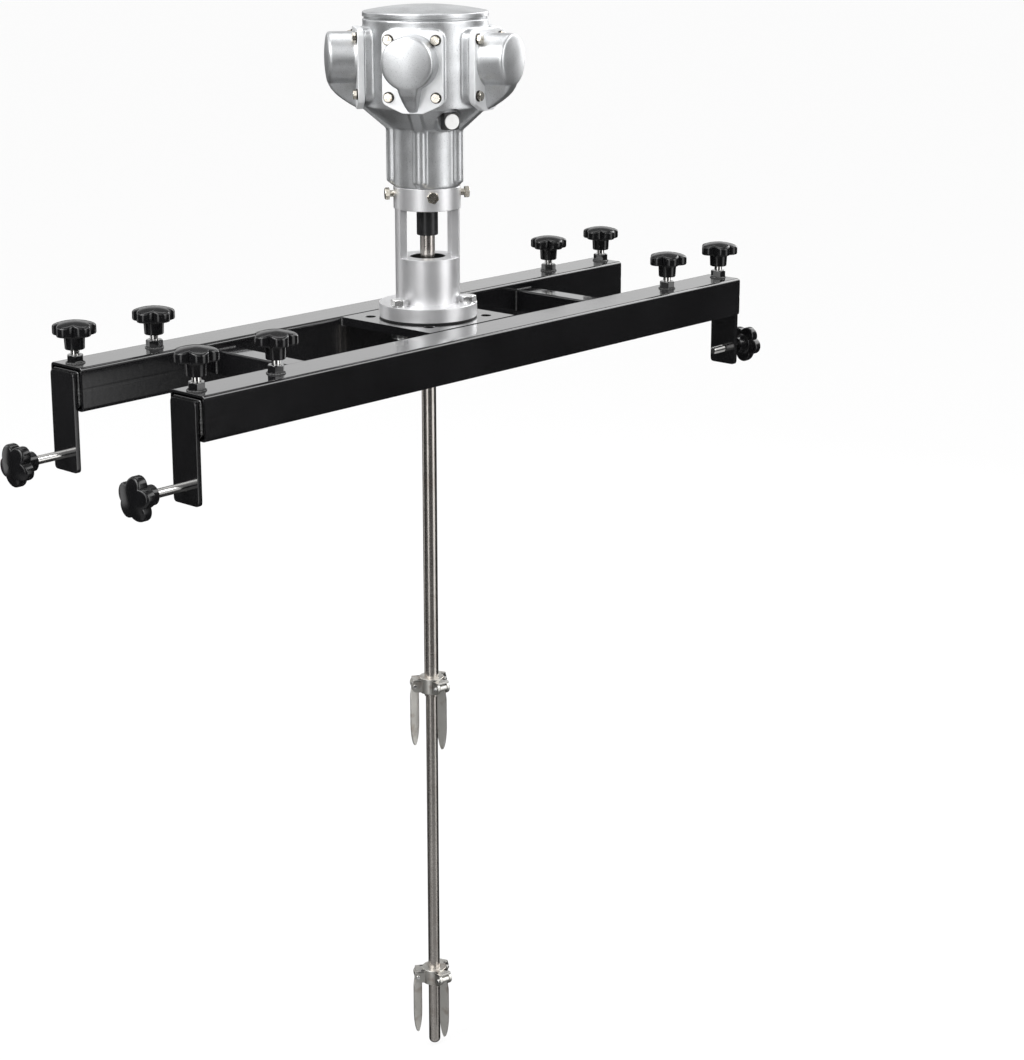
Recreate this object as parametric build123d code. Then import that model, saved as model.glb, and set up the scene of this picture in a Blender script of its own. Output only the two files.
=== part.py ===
"""Tank agitator: a radial five-cylinder air motor on a bolted lantern, carried by a telescoping
twin-beam frame, driving a long shaft with two folding three-blade impellers.
Millimetres, +Z up. Origin on the shaft axis in the plane of the beam tops."""
import os
from build123d import *

os.makedirs("parts", exist_ok=True)

LOW = (Align.CENTER, Align.CENTER, Align.MIN)

# Frame beams, centre plate and cross bars
beam_length = 940.0
beam_width = 55.0
beam_height = 50.0
beam_wall = 3.0
beam_corner = 5.0
beam_gap = 150.0
beam_y = (beam_gap + beam_width) / 2
plate_length = 150.0
plate_thick = 10.0
plate_bore_radius = 18.0
spare_hole_pitch = 100.0
spare_hole_radius = 6.5
cross_bar_x = 262.0
cross_bar_size = 30.0
cross_bar_wall = 2.5
cross_bar_drop = 10.0

# Lock knobs on the beams
lock_x_outer = 457.0
lock_x_inner = 345.0
nut_flats = 17.0
nut_height = 10.0
stud_radius = 5.0
thread_clearance = 0.1
lock_hub_z = 16.0
lock_tip_gap = 0.3

# Star knob
knob_radius = 25.0
knob_lobe_radius = 10.5
knob_core_radius = 17.5
knob_head = 16.0
knob_hub = 16.0
knob_hub_radius = 12.0
knob_dome = 5.0
clamp_knob_turn = 14.0
stud_grip = 22.0
grip_clearance = 0.5

# End brackets: inner tube welded to a hanging end plate
tube_clearance = 2.0
tube_inside = 230.0
tube_wall = 3.0
tube_corner = 4.0
end_plate_x = 471.0
end_plate_thick = 6.0
end_plate_width = 40.0
end_plate_top = -6.0
end_plate_height = 114.0
end_plate_corner = 5.0
clamp_z = -100.0
clamp_hub_left = 43.0
clamp_hub_right = 22.5
clamp_reach = 50.0

# Lantern between motor and frame
lantern_turn = 7.0
gasket_thick = 2.0
flange_radius = 60.0
flange_top = 19.0
flange_pcd = 100.0
flange_bolt_count = 3
flange_bolt_turn = 60.0
washer_radius = 9.8
washer_thick = 1.5
nut_m12_height = 10.0
lantern_radius = 39.3
lantern_wall = 8.0
sill_z = 75.0
window_top = 134.0
pillar_width = 33.0
collar_radius = 40.8
collar_top = 161.0
spigot_radius = 35.0
lantern_bore = 15.0
recess_radius = 21.8
recess_floor = 62.0
collar_screw_z = 152.0

# Hex bolts: thread size -> (shank radius, flats, head height)
hex_m12 = (6.0, 18.0, 7.5)
hex_m6 = (3.0, 10.0, 4.0)

# Air motor
motor_turn = 69.0
cylinder_count = 5
cylinder_step = 360.0 / cylinder_count
cylinder_z = 307.0
cylinder_bore = 24.0
drum_radius = 75.0
drum_bottom = 254.0
drum_top = 361.0
cone_bottom = 235.0
neck_radius = 41.0
rib_radius = 8.0
rib_taper = 6.0
spigot_bottom = 138.0
block_face = 77.0
block_width = 70.0
block_height = 86.0
block_corner = 12.0
head_face = 85.0
head_width = 72.0
head_height = 88.0
head_corner = 11.0
cap_end = 121.0
cap_radius = 31.0
cap_z = 315.0
cap_wall = 6.0
duct_width = 24.0
duct_foot_width = 11.0
duct_foot_z = 255.0
tongue_width = 66.0
web_width = 14.0
head_bolt_y = 28.0
head_bolt_z = 33.0
head_bolt_depth = 14.0
head_washer_radius = 6.5
head_washer_thick = 1.5
chamber_radius = 47.0
chamber_floor = 262.0
port_angle = motor_turn + 2.5 * cylinder_step
exhaust_angle = port_angle - 3 * cylinder_step
port_z = 244.0
port_radius = 8.5
port_boss_radius = 13.5
port_face = 60.0
port_depth = 22.0
plug_block = 20.0
plug_disc_radius = 9.0
neck_bore = 14.0
cover_radius = 75.4
cover_top = 377.0
dome_rise = 8.0
groove_height = 2.0
groove_depth = 2.0
cover_spigot_z = 349.0
spigot_clearance = 0.3
top_bearing_radius = 17.5
bearing_width = 12.0
lower_bearing_radius = 20.0
upper_bearing_radius = 22.0

# Running gear of the motor
motor_shaft_radius = 9.0
journal_radius = 10.0
running_clearance = 0.05
crank_throw = 12.0
crankpin_radius = 10.0
web_radius = 26.0
web_low = (266.0, 280.0)
web_high = (334.0, 343.0)
piston_clearance = 0.3
piston_back = 50.0
piston_crown = 64.0
piston_front = 74.0
shoe_gap = 0.6
shoe_thick = 4.5
shoe_width = 20.0
shoe_height = 24.0
rod_radius = 5.0

# Drive line
coupling_radius = 13.0
coupling_bottom = 101.0
coupling_top = 133.0
shaft_joint_z = 117.0
shaft_radius = 9.0
shaft_step_z = -494.0
lower_shaft_radius = 7.5
shaft_end_z = -984.0
slinger_radius = 20.0
slinger_low = 64.0
slinger_thick = 4.5

# Folding impellers
upper_hub_z = -478.0
lower_hub_z = -884.0
impeller_turn = 20.0
hub_radius = 16.0
hub_height = 20.0
arm_reach = 27.0
arm_height = 17.0
arm_roof_z = 5.5
arm_roof_thick = 3.0
cheek_thick = 4.0
cheek_gap = 10.6
pivot_radius = 22.0
pin_radius = 2.4
pin_clearance = 0.1
knuckle_radius = 4.6
knuckle_length = 10.0
blade_length = 83.0
blade_width = 13.0
blade_thick = 3.0
blade_pitch = 28.0
blade_start = 13.0
blade_straight = 52.0

ends = {"nl": (-1, -1), "nr": (1, -1), "fl": (-1, 1), "fr": (1, 1)}


def save(shape, node):
    export_step(shape, f"parts/{node}.step")


def about_z(angle):
    return Rot(0, 0, angle)


def rod_z(radius, low, high):
    return Pos(0, 0, low) * Cylinder(radius, high - low, align=LOW)


def rod_out(radius, start, stop, z=0.0, y=0.0):
    """A round bar along +X from start to stop."""
    return Pos(start, y, z) * Rot(0, 90, 0) * Cylinder(radius, stop - start, align=LOW)


def square_tube(length, width, height, wall, corner):
    """A rounded hollow section along X, centred on its own axis."""
    section = RectangleRounded(height, width, corner)
    section -= RectangleRounded(height - 2 * wall, width - 2 * wall, max(corner - wall, 0.8))
    return Rot(0, 90, 0) * extrude(section, length / 2, both=True)


def hexagon(flats):
    return RegularPolygon(flats / 3 ** 0.5, 6)


def hex_bolt(size, length):
    """Head above z = 0, shank below."""
    radius, flats, head = size
    return extrude(hexagon(flats), head) + rod_z(radius, -length, 0)


def group(shapes):
    return Compound(children=list(shapes))


# Frame
def beam(side, nut_places):
    bar = Pos(0, side * beam_y, -beam_height / 2) * square_tube(
        beam_length, beam_width, beam_height, beam_wall, beam_corner)
    for x in nut_places:
        bar -= Pos(x, side * beam_y, 0) * rod_z(stud_radius + thread_clearance, -2 * beam_wall, 1)
    return bar


nut_x = [-lock_x_outer, -lock_x_inner, lock_x_inner, lock_x_outer]
save(beam(-1, nut_x), "beam_near")
save(beam(1, nut_x), "beam_far")

one_nut = extrude(hexagon(nut_flats), nut_height) - rod_z(stud_radius + thread_clearance, -1, nut_height + 1)
save(group(Pos(x, side * beam_y, 0) * one_nut for side in (-1, 1) for x in nut_x), "lock_nuts")

center_plate = Pos(0, 0, -plate_thick / 2) * Box(plate_length, beam_gap, plate_thick)
center_plate -= rod_z(plate_bore_radius, -plate_thick - 1, 1)
for hole in GridLocations(spare_hole_pitch, spare_hole_pitch, 2, 2):
    center_plate -= hole * rod_z(spare_hole_radius, -plate_thick - 1, 1)
bolt_places = [about_z(flange_bolt_turn + 360 / flange_bolt_count * k) * Pos(flange_pcd / 2, 0, 0)
               for k in range(flange_bolt_count)]
for place in bolt_places:
    center_plate -= place * rod_z(hex_m12[0], -plate_thick - 1, 1)
save(center_plate, "center_plate")

for name, side in (("left", -1), ("right", 1)):
    bar = about_z(90) * square_tube(beam_gap, cross_bar_size, cross_bar_size, cross_bar_wall, 3.0)
    save(Pos(side * cross_bar_x, 0, -cross_bar_drop - cross_bar_size / 2) * bar, f"cross_bar_{name}")


# End brackets
def end_bracket(sx, sy):
    tube_width = beam_width - 2 * (beam_wall + tube_clearance)
    tube_height = beam_height - 2 * (beam_wall + tube_clearance)
    length = end_plate_x - tube_inside
    tube = square_tube(length, tube_width, tube_height, tube_wall, tube_corner)
    tube = Pos(tube_inside + length / 2, 0, -beam_height / 2) * tube
    face = RectangleRounded(end_plate_height, end_plate_width, end_plate_corner)
    plate = Rot(0, 90, 0) * extrude(face, end_plate_thick)
    plate = Pos(end_plate_x, 0, end_plate_top - end_plate_height / 2) * plate
    plate -= rod_out(stud_radius + thread_clearance, end_plate_x - 1, end_plate_x + end_plate_thick + 1, clamp_z)
    turned = (tube + plate) if sx > 0 else about_z(180) * (tube + plate)
    return Pos(0, sy * beam_y, 0) * turned


def star_knob():
    """Hub face at z = 0, head on top, blind bore for the stud."""
    star = Circle(knob_core_radius)
    for k in range(5):
        star += about_z(72 * k) * Pos(knob_radius - knob_lobe_radius, 0) * Circle(knob_lobe_radius)
    knob = Pos(0, 0, knob_hub) * extrude(star, knob_head)
    dome = (knob_radius ** 2 + knob_dome ** 2) / (2 * knob_dome)
    knob &= Pos(0, 0, knob_hub + knob_head - dome) * Sphere(dome)
    knob += rod_z(knob_hub_radius, 0, knob_hub + 1)
    return knob - rod_z(stud_radius + thread_clearance, -1, stud_grip + grip_clearance)


knob = star_knob()
for end, (sx, sy) in ends.items():
    save(end_bracket(sx, sy), f"end_bracket_{end}")
    for place, x in (("outer", lock_x_outer), ("inner", lock_x_inner)):
        spot = Pos(sx * x, sy * beam_y, lock_hub_z)
        tip = -(beam_wall + tube_clearance - lock_tip_gap) - lock_hub_z
        save(spot * rod_z(stud_radius, tip, stud_grip), f"lock_stud_{end}_{place}")
        save(spot * knob, f"lock_knob_{end}_{place}")
    hub_gap = clamp_hub_left if sx < 0 else clamp_hub_right
    spot = Pos(sx * (end_plate_x + end_plate_thick + hub_gap), sy * beam_y, clamp_z) * Rot(0, sx * 90, 0)
    save(spot * rod_z(stud_radius, -clamp_reach, stud_grip), f"clamp_stud_{end}")
    save(spot * about_z(clamp_knob_turn) * knob, f"clamp_knob_{end}")

# Lantern
gasket = rod_z(flange_radius - 1, 0, gasket_thick) - rod_z(plate_bore_radius, -1, gasket_thick + 1)
lantern = rod_z(flange_radius, gasket_thick, flange_top)
lantern = chamfer(lantern.edges().group_by(Axis.Z)[-1], 1.2)
lantern += rod_z(lantern_radius, gasket_thick, sill_z)
pillars = rod_z(lantern_radius, sill_z, window_top) - rod_z(lantern_radius - lantern_wall, sill_z, window_top)
pillars &= Pos(0, 0, sill_z) * Box(pillar_width, 3 * lantern_radius, window_top - sill_z, align=LOW)
pillars = about_z(lantern_turn + 45) * pillars
collar = rod_z(collar_radius, window_top, collar_top) - rod_z(spigot_radius, window_top - 1, collar_top + 1)
lantern += pillars
lantern += collar
lantern -= rod_z(lantern_bore, gasket_thick - 1, sill_z + 1)
lantern -= rod_z(recess_radius, recess_floor, sill_z + 1)
for place in bolt_places:
    gasket -= place * rod_z(hex_m12[0], -1, gasket_thick + 1)
    lantern -= place * rod_z(hex_m12[0], gasket_thick - 1, flange_top + 1)
screw_places = [about_z(lantern_turn + 45 + 90 * k) for k in range(4)]
for place in screw_places:
    lantern -= place * rod_out(hex_m6[0], spigot_radius - 2, collar_radius + 2, collar_screw_z)
save(lantern, "lantern")
save(gasket, "lantern_gasket")

flange_bolt = Pos(0, 0, flange_top + washer_thick) * hex_bolt(hex_m12, washer_thick)
flange_bolt += rod_z(washer_radius, flange_top, flange_top + washer_thick)
flange_bolt += rod_z(hex_m12[0], -plate_thick - nut_m12_height - 2, flange_top + 1)
flange_nut = extrude(hexagon(hex_m12[1]), -nut_m12_height) - rod_z(hex_m12[0], -nut_m12_height - 1, 1)
flange_set = [place * flange_bolt for place in bolt_places]
flange_set += [place * Pos(0, 0, -plate_thick) * flange_nut for place in bolt_places]
save(group(flange_set), "flange_bolts")

collar_screw = Pos(collar_radius + 6.5, 0, collar_screw_z) * Rot(0, 90, 0) \
    * hex_bolt(hex_m6, collar_radius + 6.5 - spigot_radius)
save(group(place * collar_screw for place in screw_places), "collar_screws")

bushing = rod_z(lantern_bore, 4, recess_floor) - rod_z(shaft_radius + running_clearance, 3, sill_z)
save(bushing, "shaft_bushing")

# Motor casing
cylinder_places = [about_z(motor_turn + cylinder_step * k) for k in range(cylinder_count)]
mid_z = Pos(0, 0, cylinder_z)


def rounded_block(width, height, corner, start, stop):
    """A rounded rectangle standing across X, extruded outward along +X."""
    return mid_z * Pos(start, 0, 0) * Rot(0, 90, 0) * extrude(RectangleRounded(height, width, corner), stop - start)


crankcase = rod_z(drum_radius, drum_bottom, drum_top)
crankcase += Pos(0, 0, cone_bottom) * Cone(neck_radius + 5, drum_radius - 5, drum_bottom - cone_bottom, align=LOW)
crankcase += rod_z(neck_radius, collar_top, cone_bottom + 1)
crankcase += rod_z(spigot_radius, spigot_bottom, collar_top + 1)
rib = rod_z(rib_radius, collar_top + 1 + rib_taper, cone_bottom + 4)
rib += Pos(0, 0, collar_top + 1) * Cone(1.0, rib_radius, rib_taper, align=LOW)
web_side = Polygon((neck_radius, cone_bottom - 4), (neck_radius + 8, cone_bottom - 4), (block_face, drum_bottom + 1),
                   (block_face, drum_bottom + 12), (neck_radius, drum_bottom + 12), align=None)
cone_web = extrude(Plane.XZ * web_side, web_width / 2, both=True)
for place in cylinder_places:
    crankcase += place * Pos(neck_radius, 0, 0) * rib
    crankcase += place * rounded_block(block_width, block_height, block_corner, 50, block_face)
    crankcase += place * cone_web
for angle in (port_angle, exhaust_angle):
    crankcase += about_z(angle) * rod_out(port_boss_radius, 30, port_face, port_z)
crankcase -= rod_z(chamber_radius, chamber_floor, drum_top + 1)
crankcase -= rod_z(neck_bore, spigot_bottom - 1, chamber_floor + 1)
crankcase -= rod_z(lower_bearing_radius, spigot_bottom - 1, spigot_bottom + bearing_width)
crankcase -= rod_z(upper_bearing_radius, chamber_floor - bearing_width, chamber_floor + 1)
for angle in (port_angle, exhaust_angle):
    crankcase -= about_z(angle) * rod_out(port_radius, port_face - port_depth, port_face + 1, port_z)
    crankcase -= about_z(angle) * rod_out(port_boss_radius + 2, port_face, drum_radius + 5, port_z)
bolt_grid = [(y, z) for y in (-head_bolt_y, head_bolt_y) for z in (-head_bolt_z, head_bolt_z)]
for place in cylinder_places:
    crankcase -= place * rod_out(cylinder_bore, 30, block_face + 1, cylinder_z)
    for y, z in bolt_grid:
        crankcase -= place * rod_out(hex_m6[0], block_face - head_bolt_depth, block_face + 1, cylinder_z + z, y)
save(crankcase, "crankcase")

# Cylinder heads, each with a hollow cap and an air duct beneath it
head = rounded_block(head_width, head_height, head_corner, block_face, head_face)
head += rod_out(cap_radius, block_face, cap_end, cap_z)
head = fillet(head.edges().filter_by(GeomType.CIRCLE).sort_by(Axis.X)[-1], 4)
tongue = Polygon((-tongue_width / 2, cylinder_z - head_height / 2), (-duct_width / 2, duct_foot_z),
                 (duct_width / 2, duct_foot_z), (tongue_width / 2, cylinder_z - head_height / 2), align=None)
head += Pos(block_face, 0, 0) * extrude(Plane.YZ * tongue, head_face - block_face)
duct_side = Polygon((block_face, 288), (cap_end - 3, 288), (cap_end - 3, 275), (head_face - 1, duct_foot_z),
                    (block_face, duct_foot_z), align=None)
duct = extrude(Plane.XZ * duct_side, duct_width / 2, both=True)
duct_front = Polygon((-duct_width / 2, 290), (-duct_width / 2, 274), (-duct_foot_width / 2, duct_foot_z - 1),
                     (duct_foot_width / 2, duct_foot_z - 1), (duct_width / 2, 274), (duct_width / 2, 290), align=None)
duct &= extrude(Plane.YZ * duct_front, cap_end)
head += duct
head -= rod_out(cap_radius - cap_wall, block_face - 1, cap_end - cap_wall, cap_z)
for y, z in bolt_grid:
    head -= rod_out(hex_m6[0], block_face - 1, head_face + 1, cylinder_z + z, y)
save(group(place * head for place in cylinder_places), "cylinder_heads")

head_bolt = Pos(0, 0, head_washer_thick) * hex_bolt(hex_m6, head_washer_thick)
head_bolt += rod_z(head_washer_radius, 0, head_washer_thick)
head_bolt += rod_z(hex_m6[0], block_face - head_face - head_bolt_depth + 1, 1)
head_bolt = Rot(0, 90, 0) * head_bolt
head_bolts = [place * Pos(head_face, y, cylinder_z + z) * head_bolt for place in cylinder_places for y, z in bolt_grid]
save(group(head_bolts), "head_bolts")

# Domed top cover with its spigot and top bearing pocket
dome_sphere = (cover_radius ** 2 + dome_rise ** 2) / (2 * dome_rise)
cover = Pos(0, 0, cover_top - dome_sphere) * Sphere(dome_sphere)
cover &= rod_z(cover_radius, drum_top + groove_height, cover_top + 1)
cover += rod_z(drum_radius - groove_depth, drum_top, drum_top + groove_height)
cover += rod_z(chamber_radius - spigot_clearance, cover_spigot_z, drum_top)
cover -= rod_z(top_bearing_radius, cover_spigot_z - 1, cover_spigot_z + 10)
save(cover, "top_cover")

# The plug of the unused air port
plug = rod_out(port_radius, port_face - 14, port_face, port_z)
plug += Pos(port_face + plug_block / 4, 0, port_z) * Box(plug_block / 2, plug_block, plug_block)
plug += rod_out(plug_disc_radius, port_face + plug_block / 2, port_face + plug_block / 2 + 2, port_z)
save(about_z(port_angle) * plug, "port_plug")

# Crankshaft, bearings, pistons and rods
pin = Pos(crank_throw, 0, 0)
crankshaft = rod_z(motor_shaft_radius, shaft_joint_z + 1, chamber_floor - bearing_width)
crankshaft += rod_z(journal_radius, chamber_floor - bearing_width, web_low[0])
crankshaft += rod_z(web_radius, *web_low)
crankshaft += pin * rod_z(crankpin_radius, web_low[1], web_high[0])
crankshaft += rod_z(web_radius, *web_high)
crankshaft += rod_z(journal_radius, web_high[1], 358)
save(about_z(port_angle) * crankshaft, "crankshaft")


def bearing(inner, outer, low, high):
    return rod_z(outer, low, high) - rod_z(inner + running_clearance, low - 1, high + 1)


bearings = [bearing(motor_shaft_radius, lower_bearing_radius, spigot_bottom, spigot_bottom + bearing_width),
            bearing(journal_radius, upper_bearing_radius, chamber_floor - bearing_width, chamber_floor),
            bearing(journal_radius, top_bearing_radius, cover_spigot_z, cover_spigot_z + 8)]
save(group(bearings), "crank_bearings")

bore_fit = cylinder_bore - piston_clearance
piston = rod_out(bore_fit, piston_back, piston_front, cylinder_z)
piston -= rod_out(bore_fit - 3, piston_back - 1, piston_crown, cylinder_z)
save(group(place * piston for place in cylinder_places), "pistons")

shoe_in = crank_throw + crankpin_radius + shoe_gap
shoe = rod_z(shoe_in + shoe_thick, cylinder_z - shoe_height / 2, cylinder_z + shoe_height / 2)
shoe -= rod_z(shoe_in, cylinder_z - shoe_height, cylinder_z + shoe_height)
shoe &= mid_z * Pos(shoe_in, 0, 0) * Box(2 * shoe_thick + 8, shoe_width, shoe_height)
con_rod = shoe + rod_out(rod_radius, shoe_in + shoe_thick - 0.5, piston_crown, cylinder_z)
save(group(place * con_rod for place in cylinder_places), "connecting_rods")

# Drive line
coupling = rod_z(coupling_radius, coupling_bottom, coupling_top) - rod_z(shaft_radius, 0, coupling_top + 1)
save(coupling, "coupling")
mixing_shaft = rod_z(shaft_radius, shaft_step_z, shaft_joint_z) + rod_z(lower_shaft_radius, shaft_end_z, shaft_step_z)
mixing_shaft = fillet(mixing_shaft.faces().sort_by(Axis.Z)[0].edges(), lower_shaft_radius - 1.5)
save(mixing_shaft, "mixing_shaft")
slinger = rod_z(slinger_radius, slinger_low, slinger_low + slinger_thick)
save(slinger - rod_z(shaft_radius, 0, 100), "shaft_slinger")


# Folding impellers
def impeller_hub(z, bore):
    hub = rod_z(hub_radius, -hub_height / 2, hub_height / 2)
    for k in range(3):
        for side in (-1, 1):
            y = side * (cheek_gap + cheek_thick) / 2
            face = Rectangle(arm_reach - 12 - arm_height / 2, arm_height, align=(Align.MIN, Align.CENTER))
            face += Pos(arm_reach - 12 - arm_height / 2, 0) * Circle(arm_height / 2)
            cheek = Pos(12, y + cheek_thick / 2, 0) * Rot(90, 0, 0) * extrude(face, cheek_thick)
            hub += about_z(120 * k) * cheek
        roof = Box(arm_reach - 14, cheek_gap + 2 * cheek_thick, arm_roof_thick, align=(Align.MIN, Align.CENTER, Align.MIN))
        hub += about_z(120 * k) * Pos(12, 0, arm_roof_z) * roof
    for k in range(3):
        hub -= about_z(120 * k) * Pos(pivot_radius, 0, 0) * Rot(90, 0, 0) * Cylinder(pin_radius, 40)
    hub -= rod_z(bore, -hub_height, hub_height)
    return Pos(0, 0, z) * about_z(impeller_turn) * hub


def blade(z, k):
    """A knuckle on the pin, a root tab and the pitched blade hanging from it."""
    outline = Pos(0, -blade_start) * Rectangle(blade_width, blade_straight - blade_start,
                                              align=(Align.CENTER, Align.MAX))
    outline += Pos(0, -blade_straight) * Ellipse(blade_width / 2, blade_length - blade_straight)
    leaf = about_z(blade_pitch) * Rot(90, 0, 0) * extrude(outline, blade_thick / 2, both=True)
    tab = Pos(0, 0, -blade_start / 2 - 1.5) * Box(blade_thick, knuckle_length, blade_start + 5)
    part = leaf + tab + Rot(90, 0, 0) * Cylinder(knuckle_radius, knuckle_length)
    part -= Rot(90, 0, 0) * Cylinder(pin_radius + pin_clearance, 20)
    return Pos(0, 0, z) * about_z(impeller_turn + 120 * k) * Pos(pivot_radius, 0, 0) * part


pins = []
for name, z, bore in (("upper", upper_hub_z, shaft_radius), ("lower", lower_hub_z, lower_shaft_radius)):
    save(impeller_hub(z, bore), f"hub_{name}")
    for k in range(3):
        save(blade(z, k), f"blade_{name}_{k + 1}")
        bar = Rot(90, 0, 0) * Cylinder(pin_radius, cheek_gap + 2 * cheek_thick + 3)
        pins.append(Pos(0, 0, z) * about_z(impeller_turn + 120 * k) * Pos(pivot_radius, 0, 0) * bar)
save(group(pins), "blade_pins")
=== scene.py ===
import math

import bmesh
import bpy
from mathutils import Matrix, Vector


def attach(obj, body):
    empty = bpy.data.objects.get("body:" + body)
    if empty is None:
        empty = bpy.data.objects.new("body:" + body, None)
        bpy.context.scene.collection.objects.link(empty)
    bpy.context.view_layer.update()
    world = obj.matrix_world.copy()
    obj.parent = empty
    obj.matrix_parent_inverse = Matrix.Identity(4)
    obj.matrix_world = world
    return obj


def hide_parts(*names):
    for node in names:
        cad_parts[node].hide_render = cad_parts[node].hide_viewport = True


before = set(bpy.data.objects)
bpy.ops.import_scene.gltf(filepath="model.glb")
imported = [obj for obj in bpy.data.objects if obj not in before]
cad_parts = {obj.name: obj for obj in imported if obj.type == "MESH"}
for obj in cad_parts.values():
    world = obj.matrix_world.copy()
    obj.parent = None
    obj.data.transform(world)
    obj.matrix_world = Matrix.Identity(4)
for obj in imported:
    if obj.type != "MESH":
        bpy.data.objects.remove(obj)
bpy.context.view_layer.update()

sceneNow = bpy.context.scene
mm = 0.001
print("frame loaded, nodes:", len(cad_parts))


# small mesh helpers, all sizes in millimetres until the mesh is made
def roundCorners(points, radius, steps=4, closed=True):
    result = []
    count = len(points)
    for i, point in enumerate(points):
        here = Vector(point[:2])
        wanted = point[2] if len(point) > 2 else radius
        if (not closed and i in (0, count - 1)) or wanted <= 0:
            result.append((here.x, here.y))
            continue
        before = Vector(points[i - 1][:2]) - here
        after = Vector(points[(i + 1) % count][:2]) - here
        turn = before.angle(after, math.pi)
        if turn > math.pi - 0.02:
            result.append((here.x, here.y))
            continue
        back = min(wanted / math.tan(turn / 2), 0.49 * before.length, 0.49 * after.length)
        start = here + before.normalized() * back
        end = here + after.normalized() * back
        for k in range(steps + 1):
            t = k / steps
            p = start * (1 - t) ** 2 + here * 2 * t * (1 - t) + end * t ** 2
            result.append((p.x, p.y))
    return result


def meshFrom(verts, faces):
    mesh = bpy.data.meshes.new("shape")
    mesh.from_pydata([Vector(v) * mm for v in verts], [], faces)
    shape = bmesh.new()
    shape.from_mesh(mesh)
    bmesh.ops.remove_doubles(shape, verts=shape.verts, dist=1e-7)
    bmesh.ops.recalc_face_normals(shape, faces=shape.faces)
    shape.to_mesh(mesh)
    shape.free()
    return mesh


def loft(rings, hollow=False):
    # rings of equal length; the ends are closed with a fan unless the loft is a hollow loop
    verts, faces, size = [], [], len(rings[0])
    for ring in rings:
        verts.extend(ring)
    pairs = len(rings) if hollow else len(rings) - 1
    for i in range(pairs):
        a, b = i * size, ((i + 1) % len(rings)) * size
        for k in range(size):
            n = (k + 1) % size
            faces.append((a + k, a + n, b + n, b + k))
    if not hollow:
        for start in (0, (len(rings) - 1) * size):
            centre = sum((Vector(verts[start + k]) for k in range(size)), Vector()) / size
            verts.append(centre)
            for k in range(size):
                faces.append((start + k, start + (k + 1) % size, len(verts) - 1))
    return meshFrom(verts, faces)


def lathe(profile, steps=96, hollow=False):
    rings = []
    for r, z in profile:
        rings.append([Vector((r * math.cos(2 * math.pi * k / steps), r * math.sin(2 * math.pi * k / steps), z))
                      for k in range(steps)])
    return loft(rings, hollow)


def prism(outline, low, high):
    return loft([[Vector((x, y, low)) for x, y in outline], [Vector((x, y, high)) for x, y in outline]])


def roundedRectangle(width, height, radius, steps=6):
    w, h = width / 2, height / 2
    return roundCorners([(-w, -h), (w, -h), (w, h), (-w, h)], radius, steps)


def moved(x, y, z):
    return Matrix.Translation(Vector((x, y, z)) * mm)


onSide = Matrix.Rotation(math.pi / 2, 4, "Y")


def turnedAbout(axis, degrees, at=(0, 0, 0)):
    return Matrix.Translation(Vector(at) * mm) @ Matrix.Rotation(math.radians(degrees), 4, axis)


def joined(parts):
    shape = bmesh.new()
    for part in parts:
        mesh, matrix = part if isinstance(part, tuple) else (part, Matrix())
        copy = mesh.copy()
        copy.transform(matrix)
        shape.from_mesh(copy)
        bpy.data.meshes.remove(copy)
    mesh = bpy.data.meshes.new("shape")
    shape.to_mesh(mesh)
    shape.free()
    return mesh


def evaluated(holder):
    graph = bpy.context.evaluated_depsgraph_get()
    mesh = bpy.data.meshes.new_from_object(holder.evaluated_get(graph))
    bpy.data.objects.remove(holder)
    return mesh


def holderFor(mesh, name="holder"):
    holder = bpy.data.objects.new(name, mesh)
    sceneNow.collection.objects.link(holder)
    return holder


def softened(mesh, width, steps=2, angle=35):
    holder = holderFor(mesh)
    bevel = holder.modifiers.new("Edges", "BEVEL")
    bevel.width = width * mm
    bevel.segments = steps
    bevel.limit_method = "ANGLE"
    bevel.angle_limit = math.radians(angle)
    bevel.use_clamp_overlap = True
    return evaluated(holder)


def cut(mesh, cutter):
    holder, tool = holderFor(mesh), holderFor(cutter, "cutter")
    knife = holder.modifiers.new("Cut", "BOOLEAN")
    knife.operation = "DIFFERENCE"
    knife.solver = "EXACT"
    knife.use_self = True
    knife.object = tool
    result = evaluated(holder)
    bpy.data.objects.remove(tool)
    return result


def fused(mesh, voxel, passes, factor=0.5):
    # one skin over overlapping forms, with the soft inner corners of a casting
    holder = holderFor(mesh)
    skin = holder.modifiers.new("Skin", "REMESH")
    skin.mode = "VOXEL"
    skin.voxel_size = voxel * mm
    smooth = holder.modifiers.new("Blend", "SMOOTH")
    smooth.factor = factor
    smooth.iterations = passes
    return evaluated(holder)


def evened(mesh):
    # large flat faces keep a flat shine right up to their rounded edges
    holder = holderFor(mesh)
    normals = holder.modifiers.new("Normals", "WEIGHTED_NORMAL")
    normals.weight = 100
    normals.keep_sharp = True
    return evaluated(holder)


def makePiece(name, mesh, body, material, stands=(), smooth=32, even=True):
    mesh.materials.clear()
    mesh.materials.append(material)
    for polygon in mesh.polygons:
        polygon.material_index = 0
        polygon.use_smooth = True
    mesh.set_sharp_from_angle(angle=math.radians(smooth))
    if even:
        mesh = evened(mesh)
    mesh.name = name
    piece = holderFor(mesh, name)
    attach(piece, body)
    if stands:
        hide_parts(*stands)
    return piece


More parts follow.
